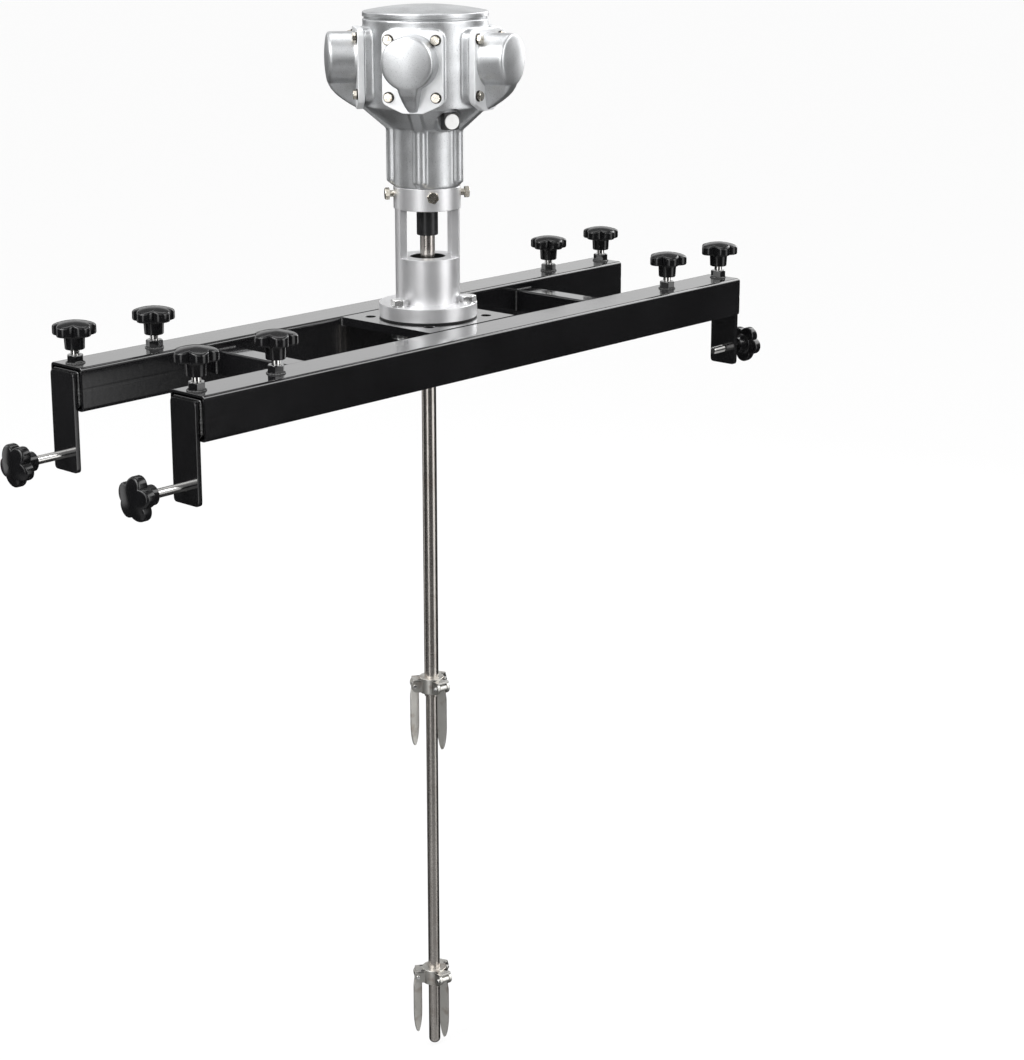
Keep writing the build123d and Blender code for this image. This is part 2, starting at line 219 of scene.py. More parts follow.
# node trees for what repeats
def newTree(name, inputs):
    tree = bpy.data.node_groups.new(name, "GeometryNodeTree")
    tree.interface.new_socket(name="Geometry", in_out="INPUT", socket_type="NodeSocketGeometry")
    for label, kind, value in inputs:
        socket = tree.interface.new_socket(name=label, in_out="INPUT", socket_type=kind)
        if value is not None:
            socket.default_value = value
    tree.interface.new_socket(name="Geometry", in_out="OUTPUT", socket_type="NodeSocketGeometry")
    return tree, tree.nodes.new("NodeGroupInput"), tree.nodes.new("NodeGroupOutput")


def ringTree():
    tree, given, out = newTree("ringOfParts", [
        ("Count", "NodeSocketInt", 5), ("First angle", "NodeSocketFloat", 0.0),
        ("Step angle", "NodeSocketFloat", 72.0), ("Material", "NodeSocketMaterial", None)])
    n, link = tree.nodes, tree.links.new
    points = n.new("GeometryNodeMeshLine")
    points.inputs["Offset"].default_value = (0, 0, 0)
    index = n.new("GeometryNodeInputIndex")
    turn = n.new("ShaderNodeMath"); turn.operation = "MULTIPLY_ADD"
    radian = n.new("ShaderNodeMath"); radian.operation = "RADIANS"
    spin = n.new("ShaderNodeCombineXYZ")
    place = n.new("GeometryNodeInstanceOnPoints")
    real = n.new("GeometryNodeRealizeInstances")
    paint = n.new("GeometryNodeSetMaterial")
    link(given.outputs["Count"], points.inputs["Count"])
    link(index.outputs[0], turn.inputs[0])
    link(given.outputs["Step angle"], turn.inputs[1])
    link(given.outputs["First angle"], turn.inputs[2])
    link(turn.outputs[0], radian.inputs[0])
    link(radian.outputs[0], spin.inputs["Z"])
    link(points.outputs["Mesh"], place.inputs["Points"])
    link(given.outputs["Geometry"], place.inputs["Instance"])
    link(spin.outputs[0], place.inputs["Rotation"])
    link(place.outputs[0], real.inputs[0])
    link(real.outputs[0], paint.inputs[0])
    link(given.outputs["Material"], paint.inputs["Material"])
    link(paint.outputs[0], out.inputs[0])
    return tree


def spotTree():
    tree, given, out = newTree("partsOnSpots", [
        ("Part", "NodeSocketObject", None), ("Random turn", "NodeSocketFloat", 0.0),
        ("Seed", "NodeSocketInt", 4), ("Size spread", "NodeSocketFloat", 0.0),
        ("Material", "NodeSocketMaterial", None)])
    n, link = tree.nodes, tree.links.new
    part = n.new("GeometryNodeObjectInfo")
    randomTurn = n.new("FunctionNodeRandomValue")
    radian = n.new("ShaderNodeMath"); radian.operation = "RADIANS"
    spin = n.new("ShaderNodeCombineXYZ")
    least = n.new("ShaderNodeMath"); least.operation = "SUBTRACT"; least.inputs[0].default_value = 1.0
    size = n.new("FunctionNodeRandomValue")
    place = n.new("GeometryNodeInstanceOnPoints")
    real = n.new("GeometryNodeRealizeInstances")
    paint = n.new("GeometryNodeSetMaterial")
    link(given.outputs["Part"], part.inputs["Object"])
    link(given.outputs["Random turn"], randomTurn.inputs[3])
    link(given.outputs["Seed"], randomTurn.inputs["Seed"])
    link(randomTurn.outputs[1], radian.inputs[0])
    link(radian.outputs[0], spin.inputs["Z"])
    link(given.outputs["Size spread"], least.inputs[1])
    link(least.outputs[0], size.inputs[2])
    size.inputs[3].default_value = 1.0
    link(given.outputs["Seed"], size.inputs["Seed"])
    link(given.outputs["Geometry"], place.inputs["Points"])
    link(part.outputs["Geometry"], place.inputs["Instance"])
    link(spin.outputs[0], place.inputs["Rotation"])
    link(size.outputs[1], place.inputs["Scale"])
    link(place.outputs[0], real.inputs[0])
    link(real.outputs[0], paint.inputs[0])
    link(given.outputs["Material"], paint.inputs["Material"])
    link(paint.outputs[0], out.inputs[0])
    return tree


ringOfParts = ringTree()
partsOnSpots = spotTree()


def grown(mesh, tree, **given):
    holder = holderFor(mesh)
    modifier = holder.modifiers.new("Grow", "NODES")
    modifier.node_group = tree
    labels = {item.name: item.identifier for item in tree.interface.items_tree if item.in_out == "INPUT"}
    for label, value in given.items():
        modifier[labels[label.replace("_", " ")]] = value
    return evaluated(holder)


def onSpots(spots, part, material, **given):
    template = holderFor(part, "template")
    points = bpy.data.meshes.new("spots")
    points.from_pydata([Vector(s) * mm for s in spots], [], [])
    result = grown(points, partsOnSpots, Part=template, Material=material, **given)
    bpy.data.objects.remove(template)
    return result


# finishes
def finish(name, colour, metallic, roughness, grain=None, mottle=(18.0, 0.08), rings=None, streak=None,
           spread=0.06, coat=0.0, stain=None, specular=0.5):
    material = bpy.data.materials.new(name)
    material.use_nodes = True
    n, link = material.node_tree.nodes, material.node_tree.links.new
    shader = n["Principled BSDF"]
    shader.inputs["Metallic"].default_value = metallic
    shader.inputs["Coat Weight"].default_value = coat
    shader.inputs["Coat Roughness"].default_value = 0.06
    shader.inputs["Specular IOR Level"].default_value = specular
    where = n.new("ShaderNodeTexCoord")

    def noise(scale, detail=3.0, stretch=None):
        texture = n.new("ShaderNodeTexNoise")
        texture.inputs["Scale"].default_value = scale
        texture.inputs["Detail"].default_value = detail
        if stretch:
            mapping = n.new("ShaderNodeMapping")
            mapping.inputs["Scale"].default_value = stretch
            link(where.outputs["Object"], mapping.inputs["Vector"])
            link(mapping.outputs[0], texture.inputs["Vector"])
        else:
            link(where.outputs["Object"], texture.inputs["Vector"])
        return texture

    cloud = noise(mottle[0], 4.0)
    ramp = n.new("ShaderNodeMapRange")
    ramp.inputs["From Min"].default_value = 0.3
    ramp.inputs["From Max"].default_value = 0.7
    link(cloud.outputs["Fac"], ramp.inputs["Value"])
    mix = n.new("ShaderNodeMix"); mix.data_type = "RGBA"
    mix.inputs[6].default_value = (*[c * (1 - mottle[1]) for c in colour], 1)
    mix.inputs[7].default_value = (*[min(1, c * (1 + mottle[1])) for c in colour], 1)
    link(ramp.outputs[0], mix.inputs[0])
    tone = mix.outputs[2]
    if stain:
        # a second, finer colour worked in where the surface is stained or worn
        spots = noise(stain[1], 5.0)
        mask = n.new("ShaderNodeMapRange")
        mask.inputs["From Min"].default_value = stain[2]
        mask.inputs["From Max"].default_value = stain[2] + 0.16
        link(spots.outputs["Fac"], mask.inputs["Value"])
        over = n.new("ShaderNodeMix"); over.data_type = "RGBA"
        over.inputs[7].default_value = (*stain[0], 1)
        link(mask.outputs[0], over.inputs[0])
        link(tone, over.inputs[6])
        tone = over.outputs[2]
    link(tone, shader.inputs["Base Color"])
    rough = n.new("ShaderNodeMapRange")
    rough.inputs["To Min"].default_value = max(0.02, roughness - spread)
    rough.inputs["To Max"].default_value = roughness + spread
    source = noise(mottle[0] * 5, 5.0, streak[0] if streak else None)
    link(source.outputs["Fac"], rough.inputs["Value"])
    link(rough.outputs[0], shader.inputs["Roughness"])
    normal = None
    if grain:
        bump = n.new("ShaderNodeBump")
        bump.inputs["Strength"].default_value = 1.0
        bump.inputs["Distance"].default_value = grain[1] * mm
        link(noise(grain[0], 2.0).outputs["Fac"], bump.inputs["Height"])
        normal = bump
    if streak:
        bump = n.new("ShaderNodeBump")
        bump.inputs["Distance"].default_value = streak[1] * mm
        link(noise(streak[2], 3.0, streak[0]).outputs["Fac"], bump.inputs["Height"])
        if normal:
            link(normal.outputs[0], bump.inputs["Normal"])
        normal = bump
    if rings:
        wave = n.new("ShaderNodeTexWave")
        wave.wave_type = "BANDS"
        wave.bands_direction = "Z"
        wave.inputs["Scale"].default_value = rings[0]
        wave.inputs["Distortion"].default_value = 0.6
        wave.inputs["Detail"].default_value = 2.0
        link(where.outputs["Object"], wave.inputs["Vector"])
        bump = n.new("ShaderNodeBump")
        bump.inputs["Distance"].default_value = rings[1] * mm
        link(wave.outputs["Fac"], bump.inputs["Height"])
        if normal:
            link(normal.outputs[0], bump.inputs["Normal"])
        normal = bump
    if normal:
        link(normal.outputs[0], shader.inputs["Normal"])
    return material


framePaint = finish("framePaint", (0.006, 0.006, 0.0065), 0.0, 0.13, grain=(160, 0.05), mottle=(9, 0.25),
                    spread=0.04, coat=0.6)
weldPaint = finish("weldPaint", (0.05, 0.05, 0.05), 0.3, 0.2, grain=(700, 0.05), mottle=(60, 0.4))
knobPlastic = finish("knobPlastic", (0.005, 0.005, 0.0055), 0.0, 0.16, grain=(900, 0.008), mottle=(40, 0.2),
                     spread=0.04, specular=0.4)
studSteel = finish("studSteel", (0.82, 0.81, 0.79), 1.0, 0.16, streak=((60, 60, 3), 0.004, 30), mottle=(60, 0.05))
turnedAluminium = finish("turnedAluminium", (0.74, 0.74, 0.75), 0.9, 0.42, rings=(260, 0.004),
                         mottle=(30, 0.05), streak=((3, 3, 120), 0.003, 12), spread=0.05)
castAluminium = finish("castAluminium", (0.57, 0.58, 0.59), 0.9, 0.38, grain=(1400, 0.06), mottle=(35, 0.14),
                       spread=0.08, stain=((0.28, 0.28, 0.29), 900, 0.58))
headFace = finish("headFace", (0.84, 0.85, 0.86), 0.55, 0.40, grain=(1500, 0.03), mottle=(40, 0.06), spread=0.06)
machinedFace = finish("machinedFace", (0.80, 0.81, 0.82), 1.0, 0.34, grain=(1800, 0.01), mottle=(40, 0.06))
# near-black washer finish, painted shade: it stands in for the shaded recess around each head bolt
washerShadeSteel = finish("washerShadeSteel", (0.05, 0.045, 0.04), 0.9, 0.34, grain=(1000, 0.01), mottle=(120, 0.3))
zincSteel = finish("zincSteel", (0.72, 0.68, 0.60), 1.0, 0.26, grain=(1200, 0.01), mottle=(140, 0.25),
                   stain=((0.34, 0.28, 0.21), 260, 0.55))
brightSteel = finish("brightSteel", (0.78, 0.78, 0.78), 1.0, 0.2, grain=(1200, 0.008), mottle=(120, 0.15))
shaftSteel = finish("shaftSteel", (0.52, 0.49, 0.46), 1.0, 0.26, streak=((4, 4, 260), 0.004, 20),
                    mottle=(12, 0.10), stain=((0.45, 0.41, 0.38), 40, 0.56))
bladeSteel = finish("bladeSteel", (0.58, 0.57, 0.54), 1.0, 0.36, streak=((120, 120, 6), 0.006, 24),
                    mottle=(25, 0.14), stain=((0.36, 0.31, 0.27), 60, 0.55))
blackOxide = finish("blackOxide", (0.022, 0.022, 0.023), 0.4, 0.3, grain=(900, 0.01), mottle=(80, 0.3))
sealRubber = finish("sealRubber", (0.008, 0.008, 0.008), 0.0, 0.5, grain=(1100, 0.03), mottle=(50, 0.3))
plugWhite = finish("plugWhite", (0.72, 0.72, 0.71), 0.0, 0.5, grain=(700, 0.02), mottle=(90, 0.04))
plugBlack = finish("plugBlack", (0.015, 0.015, 0.015), 0.0, 0.42, grain=(900, 0.02), mottle=(60, 0.3))
bushingBronze = finish("bushingBronze", (0.62, 0.44, 0.24), 1.0, 0.3, rings=(300, 0.004), mottle=(50, 0.1))
groundSteel = finish("groundSteel", (0.62, 0.62, 0.62), 1.0, 0.25, rings=(320, 0.003), mottle=(50, 0.1))
print("finishes made")

beamY = 102.5

# frame: beams, plate, cross bars, nuts, welds
beamValues = {"length": 940, "width": 55, "height": 50, "wall": 3, "corner": 5, "seam": 0.25}


def withSeam(corners, rim, sideX):
    # the seam's points go in below the upper corner of the side they lie on
    split = max(range(len(corners)), key=lambda i: (corners[i][0] < sideX + 0.01 and corners[i][1] > 0, -corners[i][1]))
    return corners[:split + 1] + rim + corners[split + 1:]


def hollowBar(length, width, height, wall, corner, seam=0.0):
    outer = roundedRectangle(width, height, corner, 6)
    inner = roundedRectangle(width - 2 * wall, height - 2 * wall, max(corner - wall, 1), 6)
    if seam:
        # the welded seam of the tube, a shallow groove along one side
        rim = [(-width / 2, y) for y in (3.0, 1.2, -1.2, -3.0)]
        rim = [rim[0], (rim[1][0] + seam, rim[1][1]), (rim[2][0] + seam, rim[2][1]), rim[3]]
        outer = withSeam(outer, rim, -width / 2)
        inner = withSeam(inner, [(-width / 2 + wall, y) for _, y in rim], -width / 2 + wall)
    half = length / 2
    edge = 0.4

    def ring(points, x, shrink):
        return [Vector((x, p[0] * (1 - shrink / width * 2), p[1] * (1 - shrink / height * 2))) for p in points]

    rings = [ring(outer, -half + edge, 0), ring(outer, half - edge, 0), ring(outer, half, edge),
             ring(inner, half, 0), ring(inner, -half, 0), ring(outer, -half, edge)]
    return loft(rings, hollow=True)


for name, side in (("beam_near", -1), ("beam_far", 1)):
    v = beamValues
    bar = hollowBar(v["length"], v["width"], v["height"], v["wall"], v["corner"], v["seam"])
    bar.transform(moved(0, side * beamY, -v["height"] / 2))
    makePiece(name + "Tube", bar, "frame", framePaint, [name])

plateValues = {"length": 150, "gap": 150, "thick": 10, "bore": 18, "holePitch": 50, "holeRadius": 6.5, "edge": 0.5}
v = plateValues
plate = prism(roundedRectangle(v["length"], v["gap"], 1.0, 2), -v["thick"], 0)
drill = lathe([(v["holeRadius"], -15), (v["holeRadius"], -0.6), (v["holeRadius"] + 0.8, 0.2),
               (v["holeRadius"] + 0.8, 4)], 40)
cutters = [(drill, moved(x, y, 0))
           for x in (-v["holePitch"], v["holePitch"]) for y in (-v["holePitch"], v["holePitch"])]
cutters.append(lathe([(v["bore"], -15), (v["bore"], 5)], 64))
plate = cut(softened(plate, v["edge"]), joined(cutters))
makePiece("centerPlate", plate, "frame", framePaint, ["center_plate"])

barValues = {"x": 262, "size": 30, "wall": 2.5, "corner": 3, "drop": 10, "gap": 150}
for name, side in (("cross_bar_left", -1), ("cross_bar_right", 1)):
    v = barValues
    bar = hollowBar(v["gap"], v["size"], v["size"], v["wall"], v["corner"])
    bar.transform(moved(side * v["x"], 0, -v["drop"] - v["size"] / 2)
                  @ Matrix.Rotation(math.pi / 2, 4, "Z"))
    makePiece(name.replace("_b", "B").replace("_l", "L").replace("_r", "R"), bar, "frame", framePaint,
              [name])

nutValues = {"flats": 17, "height": 10, "bore": 5.1, "outerX": 457, "innerX": 345, "turn": 60, "seed": 3}


def chamferedHex(flats, low, high, chamfer, topOnly=True, bore=0.0):
    # a hexagon whose corners are rounded off towards the ends, as on turned nuts and bolt heads
    steps = 36
    corner = flats / math.sqrt(3)

    def outline(limit, z):
        ring = []
        for k in range(steps):
            a = 2 * math.pi * k / steps
            off = (a + math.pi / 6) % (math.pi / 3) - math.pi / 6
            ring.append(Vector((math.cos(a), math.sin(a), 0)) * min(flats / 2 / math.cos(math.pi / 6 - abs(off)), limit)
                        + Vector((0, 0, z)))
        return ring

    rings = [] if topOnly else [outline(flats / 2 - 0.2, low)]
    rings += [outline(corner, low if topOnly else low + chamfer), outline(corner, high - chamfer),
              outline((corner + flats / 2) / 2, high - chamfer * 0.45), outline(flats / 2 - 0.2, high)]
    if bore:
        inner = [[Vector((math.cos(2 * math.pi * k / steps), math.sin(2 * math.pi * k / steps), 0)) * r
                  + Vector((0, 0, z)) for k in range(steps)] for r, z in
                 ((bore + 0.7, high), (bore, high - 0.7), (bore, low))]
        return loft(rings + inner, hollow=True)
    return loft(rings)


v = nutValues
nut = chamferedHex(v["flats"], 0.0, v["height"], 1.4, True, v["bore"])
spots = [(x, y, 0) for y in (-beamY, beamY) for x in (-v["outerX"], -v["innerX"], v["innerX"], v["outerX"])]
nuts = onSpots(spots, nut, framePaint, Random_turn=float(v["turn"]), Seed=v["seed"])
makePiece("lockNuts", nuts, "frame", framePaint, ["lock_nuts"])

weldValues = {"bead": 2.2, "spacing": 1.5, "spread": 0.35, "seed": 11}


def weldSpots(start, end, spacing):
    a, b = Vector(start), Vector(end)
    count = max(2, int((b - a).length / spacing))
    return [a + (b - a) * k / (count - 1) for k in range(count)]


v = weldValues
spots = []
for side in (-1, 1):
    for cx in (-barValues["x"], barValues["x"]):
        for dx in (-barValues["size"] / 2, barValues["size"] / 2):
            spots += weldSpots((cx + dx, side * 74.6, -13), (cx + dx, side * 74.6, -37), v["spacing"])
        spots += weldSpots((cx - 13, side * 74.6, -10.3), (cx + 13, side * 74.6, -10.3), v["spacing"])
    for dx in (-75, 75):
        spots += weldSpots((dx, side * 74.0, -9.6), (dx, side * 74.0, -3), v["spacing"])
    spots += weldSpots((-74, side * 74.4, -10.2), (74, side * 74.4, -10.2), v["spacing"] * 1.3)
for y in (-beamY, beamY):
    for x in (-nutValues["outerX"], -nutValues["innerX"], nutValues["innerX"], nutValues["outerX"]):
        spots += [(x + 9.3 * math.cos(a * math.pi / 16), y + 9.3 * math.sin(a * math.pi / 16), 0.3) for a in range(32)]
drop = bmesh.new()
bmesh.ops.create_icosphere(drop, subdivisions=1, radius=v["bead"] * mm)
dropMesh = bpy.data.meshes.new("drop")
drop.to_mesh(dropMesh)
drop.free()
welds = onSpots(spots, dropMesh, weldPaint, Random_turn=180.0, Seed=v["seed"], Size_spread=v["spread"])
makePiece("frameWelds", welds, "frame", weldPaint, smooth=70)
print("frame made")

# end brackets
bracketValues = {"tubeWidth": 45, "tubeHeight": 40, "tubeWall": 3, "tubeCorner": 4, "inside": 230, "plateX": 471,
                 "plateThick": 6, "plateWidth": 40, "plateHeight": 114, "plateTop": -6, "corner": 5, "edge": 0.7,
                 "screwZ": -100, "screwHole": 5.1}
ends = {"nl": (-1, -1), "nr": (1, -1), "fl": (-1, 1), "fr": (1, 1)}
v = bracketValues
length = v["plateX"] - v["inside"]
innerTube = hollowBar(length, v["tubeWidth"], v["tubeHeight"], v["tubeWall"], v["tubeCorner"])
innerTube.transform(moved(v["inside"] + length / 2, 0, -25))
face = prism(roundedRectangle(v["plateHeight"], v["plateWidth"], v["corner"], 5), 0, v["plateThick"])
face = softened(face, v["edge"])
face.transform(moved(v["plateX"], 0, v["plateTop"] - v["plateHeight"] / 2)
               @ onSide)
hole = lathe([(v["screwHole"], -20), (v["screwHole"], 20)], 40)
hole.transform(moved(v["plateX"], 0, v["screwZ"]) @ onSide)
face = cut(face, hole)
seams = []
for s in (-1, 1):
    seams += weldSpots((v["plateX"] - 0.4, s * 22.0, -41), (v["plateX"] - 0.4, s * 22.0, -9), 1.6)
seams += weldSpots((v["plateX"] - 0.4, -19, -44.6), (v["plateX"] - 0.4, 19, -44.6), 1.6)
bead = onSpots(seams, dropMesh.copy(), weldPaint, Random_turn=180.0, Seed=7, Size_spread=0.35)
bracketShape = joined([innerTube, face])
for end, (sx, sy) in ends.items():
    place = moved(0, sy * beamY, 0)
    if sx < 0:
        place = place @ Matrix.Rotation(math.pi, 4, "Z")
    makePiece("bracket" + end.upper(), joined([(bracketShape, place)]), "bracket_" + end, framePaint,
              ["end_bracket_" + end])
    makePiece("bracketWeld" + end.upper(), joined([(bead, place)]), "bracket_" + end, weldPaint, smooth=70)
print("brackets made")

# star knobs and their studs
knobValues = {"radius": 25.0, "valley": 18.2, "head": 16.0, "dome": 5.0, "hub": 16.0, "hubTop": 12.6, "hubEnd": 11.0,
              "bore": 5.1, "grip": 22.5, "steps": 90, "lobes": 5, "fullness": 0.45}
studValues = {"radius": 5.0, "threadPitch": 1.5, "threadDepth": 0.45}


def starKnob():
    v = knobValues
    low, top = v["hub"], v["hub"] + v["head"]
    sphere = (v["radius"] ** 2 + v["dome"] ** 2) / (2 * v["dome"])
    angles = [2 * math.pi * k / v["steps"] for k in range(v["steps"])]

    def starRadius(a):
        wave = 0.5 + 0.5 * math.cos(v["lobes"] * a)
        return v["valley"] + (v["radius"] - v["valley"]) * wave ** v["fullness"]

    def side(inset, z, flat=0.0):
        ring = []
        for a in angles:
            r = (starRadius(a) - inset) * (1 - flat) + (v["valley"] - inset) * flat
            ring.append(Vector((r * math.cos(a), r * math.sin(a), z)))
        return ring

    def crown(inset, below, share=1.0):
        # a ring that follows the domed top
        ring = []
        for a in angles:
            r = (starRadius(a) - inset) * share
            z = top - sphere + math.sqrt(sphere ** 2 - r ** 2) - below
            ring.append(Vector((r * math.cos(a), r * math.sin(a), z)))
        return ring

    def round_(r, z):
        return [Vector((r * math.cos(a), r * math.sin(a), z)) for a in angles]

    rings = [round_(0.4, v["grip"]), round_(v["bore"], v["grip"]), round_(v["bore"], 0.8), round_(v["bore"] + 0.6, 0.0),
             round_(v["hubEnd"] - 0.8, 0.0), round_(v["hubEnd"], 0.8), round_(v["hubTop"] - 1.0, low - 3.0),
             round_(v["hubTop"] - 0.3, low - 0.8), round_(v["hubTop"] + 1.2, low), side(4.5, low, 0.3), side(1.8, low),
             side(0.6, low + 0.5), side(0.0, low + 1.9), crown(0.0, 2.6), crown(0.3, 1.3), crown(0.9, 0.5), crown(1.9, 0.1),
             crown(3.2, 0.0), crown(3.2, 0.0, 0.75), crown(3.2, 0.0, 0.45), crown(3.2, 0.0, 0.15)]
    return loft(rings)


def stud(low, high, threadEnd):
    # smooth shank, chamfered tip, turned grooves over the threaded length
    v = studValues
    r, d, p = v["radius"], v["threadDepth"], v["threadPitch"]
    profile = [(r - 1.4, low), (r - 0.4, low + 1.0)]
    z = low + 1.2
    while z < threadEnd:
        profile += [(r - d, z), (r, z + p * 0.4), (r, z + p * 0.55)]
        z += p
    profile += [(r, z + 0.4), (r, high - 0.8), (r - 0.8, high)]
    return lathe(profile, 48)


knobShape = starKnob()
for end, (sx, sy) in ends.items():
    for place, x in (("outer", nutValues["outerX"]), ("inner", nutValues["innerX"])):
        spot = moved(sx * x, sy * beamY, 16)
        turn = Matrix.Rotation(math.radians(17 * (x % 7) + 31 * sx + 47 * sy), 4, "Z")
        name = f"{end}_{place}"
        makePiece("lockKnob_" + name, joined([(knobShape, spot @ turn)]), "lock_knob_" + name, knobPlastic,
                  ["lock_knob_" + name], 40)
        makePiece("lockStud_" + name, joined([(stud(-20.7, 22, -6.5), spot)]), "lock_stud_" + name, studSteel,
                  ["lock_stud_" + name])
    gap = 43 if sx < 0 else 22.5
    hubX = 477 + gap
    spot = moved(sx * hubX, sy * beamY, -100) @ Matrix.Rotation(sx * math.pi / 2, 4, "Y")
    makePiece("clampKnob_" + end, joined([(knobShape, spot @ Matrix.Rotation(math.radians(14 + 20 * sy), 4, "Z"))]),
              "clamp_knob_" + end, knobPlastic, ["clamp_knob_" + end], 40)
    makePiece("clampStud_" + end, joined([(stud(-50, 22, -gap - 1.5), spot)]), "clamp_stud_" + end, studSteel,
              ["clamp_stud_" + end])
print("knobs and studs made")

# lantern, gasket and their screws
lanternValues = {"turn": 7, "flange": 60, "flangeLow": 2, "flangeTop": 19, "barrel": 39.3, "wall": 8, "sill": 75,
                 "windowTop": 134, "collar": 40.8, "collarTop": 161, "seat": 35, "bore": 15, "pillar": 33,
                 "recess": 21.8, "recessFloor": 62}
v = lanternValues
barrelProfile = [(v["bore"], v["flangeLow"]), (v["flange"], v["flangeLow"], 0.6), (v["flange"], v["flangeTop"], 1.2),
                 (v["barrel"], v["flangeTop"], 0.8), (v["barrel"], v["sill"], 0.8), (v["recess"], v["sill"], 0.5),
                 (v["recess"], v["recessFloor"], 0.5), (v["bore"], v["recessFloor"], 0.5)]
collarProfile = [(v["seat"], v["windowTop"]), (v["collar"], v["windowTop"], 0.8), (v["collar"], v["collarTop"], 1.0),
                 (v["seat"], v["collarTop"], 0.8)]
half, collar = [lathe(roundCorners(profile, 0.6, 3), 128, hollow=True) for profile in (barrelProfile, collarProfile)]
inner = v["barrel"] - v["wall"]
outerSpan, innerSpan = math.asin(v["pillar"] / 2 / v["barrel"]), math.asin(v["pillar"] / 2 / inner)
sector = [(v["barrel"] * math.cos(a), v["barrel"] * math.sin(a)) for a in [outerSpan * (k / 4 - 1) for k in range(9)]]
sector += [(inner * math.cos(a), inner * math.sin(a)) for a in [innerSpan * (1 - k / 4) for k in range(9)]]
pillar = softened(prism(roundCorners(sector, 0.8, 2), v["sill"] - 1, v["windowTop"] + 1), 0.3, 2, 60)
turnIt = [turnedAbout("Z", v["turn"] + 135 + 180 * k) for k in (0, 1)]
lantern = joined([half, collar] + [(pillar, m) for m in turnIt])
makePiece("lanternBody", lantern, "frame", turnedAluminium, ["lantern"])

# the seal is pressed into the recess of the sill
sealCup = lathe([(10.5, 62.05), (21.65, 62.05), (21.65, 74.3), (21.0, 74.3), (21.0, 62.6), (10.5, 62.6)], 72, hollow=True)
makePiece("sealCup", sealCup, "frame", sealRubber)

gasket = lathe(roundCorners([(18, 0), (59.4, 0), (59.4, 2), (18, 2)], 0.7, 3), 128, hollow=True)
makePiece("flangeGasket", gasket, "frame", sealRubber, ["lantern_gasket"])

boltValues = {"flats": 18, "head": 7.5, "shank": 6.0, "washer": 9.8, "washerThick": 1.5, "chamfer": 1.4, "circle": 50,
              "first": 60, "count": 3, "nut": 10}


def hexBolt(flats, height, shank, length, chamfer, washer=0.0, thick=0.0):
    head = chamferedHex(flats, thick, thick + height, chamfer)
    body = lathe([(shank - 0.6, -length), (shank, -length + 0.8), (shank, thick + 0.2)], 24)
    parts = [head, body]
    if washer:
        disc = roundCorners([(shank, 0.0), (washer, 0.0), (washer, thick), (shank, thick)], 0.3, 2)
        parts.append(lathe(disc, 48, hollow=True))
    return joined(parts)


v = boltValues
flangeBolt = hexBolt(v["flats"], v["head"], v["shank"], 41, v["chamfer"], v["washer"], v["washerThick"])
flangeNut = chamferedHex(v["flats"], -10.0 - v["nut"], -10.0, 1.2, False, v["shank"])
oneSet = joined([(flangeBolt, turnedAbout("Z", 12, (v["circle"], 0, lanternValues["flangeTop"]))),
                 (flangeNut, turnedAbout("Z", 20, (v["circle"], 0, 0)))])
bolts = grown(oneSet, ringOfParts, Count=v["count"], First_angle=float(v["first"]), Step_angle=360.0 / v["count"],
              Material=brightSteel)
makePiece("flangeBolts", bolts, "frame", brightSteel, ["flange_bolts"])

screwValues = {"flats": 13, "head": 5.5, "shank": 4.0, "length": 10.9, "chamfer": 1.0, "seat": 46.0, "z": 152,
               "first": 52, "count": 4}
v = screwValues
screw = hexBolt(v["flats"], v["head"], v["shank"], v["length"], v["chamfer"])
oneScrew = joined([(screw, turnedAbout("Y", 90, (v["seat"], 0, v["z"])) @ Matrix.Rotation(0.3, 4, "Z"))])
screws = grown(oneScrew, ringOfParts, Count=v["count"], First_angle=float(v["first"]), Step_angle=360.0 / v["count"],
               Material=zincSteel)
makePiece("collarScrews", screws, "frame", zincSteel, ["collar_screws"])
print("lantern made")

# motor casing
motorValues = {"first": 69, "count": 5, "step": 72, "axisZ": 307, "drum": 75, "drumLow": 254, "drumTop": 361,
               "coneLow": 235, "neck": 41, "rib": 8, "spigot": 35, "spigotLow": 138, "blockFace": 77, "blockWidth": 70,
               "blockHeight": 86, "blockCorner": 12, "web": 14, "boss": 13.5, "portZ": 244, "portFace": 60,
               "voxel": 1.35, "passes": 5}
v = motorValues
trunk = lathe([(v["spigot"], v["spigotLow"]), (v["spigot"], 160), (v["neck"], 161.5), (v["neck"], v["coneLow"] - 3),
               (v["neck"] + 5, v["coneLow"]), (v["drum"] - 5, v["drumLow"]), (v["drum"], v["drumLow"] + 4),
               (v["drum"], v["drumTop"])], 120)
block = prism(roundedRectangle(v["blockHeight"], v["blockWidth"], v["blockCorner"], 6), 50, v["blockFace"])
block.transform(moved(0, 0, v["axisZ"]) @ onSide)
rib = lathe([(0.3, 161.5), (v["rib"], 168), (v["rib"], v["coneLow"] + 4)], 40)
rib.transform(moved(v["neck"], 0, 0))
webOutline = [(v["neck"] - 2, 231), (v["neck"] + 8, 231), (v["blockFace"], 255), (v["blockFace"], 268),
              (v["neck"] - 2, 268)]
web = prism(webOutline, -v["web"] / 2, v["web"] / 2)
web.transform(Matrix.Rotation(math.pi / 2, 4, "X"))
sector = joined([block, rib, web])
fiveAround = {"Count": v["count"], "First_angle": float(v["first"]), "Step_angle": float(v["step"])}
around = grown(sector, ringOfParts, Material=castAluminium, **fiveAround)
bossBar = lathe([(v["boss"], 30), (v["boss"], v["portFace"])], 48)
portAngles = [v["first"] + 2.5 * v["step"], v["first"] - 0.5 * v["step"]]
bosses = [(bossBar, turnedAbout("Z", a) @ moved(0, 0, v["portZ"])
           @ onSide) for a in portAngles]
casting = fused(joined([trunk, around] + bosses), v["voxel"], v["passes"])
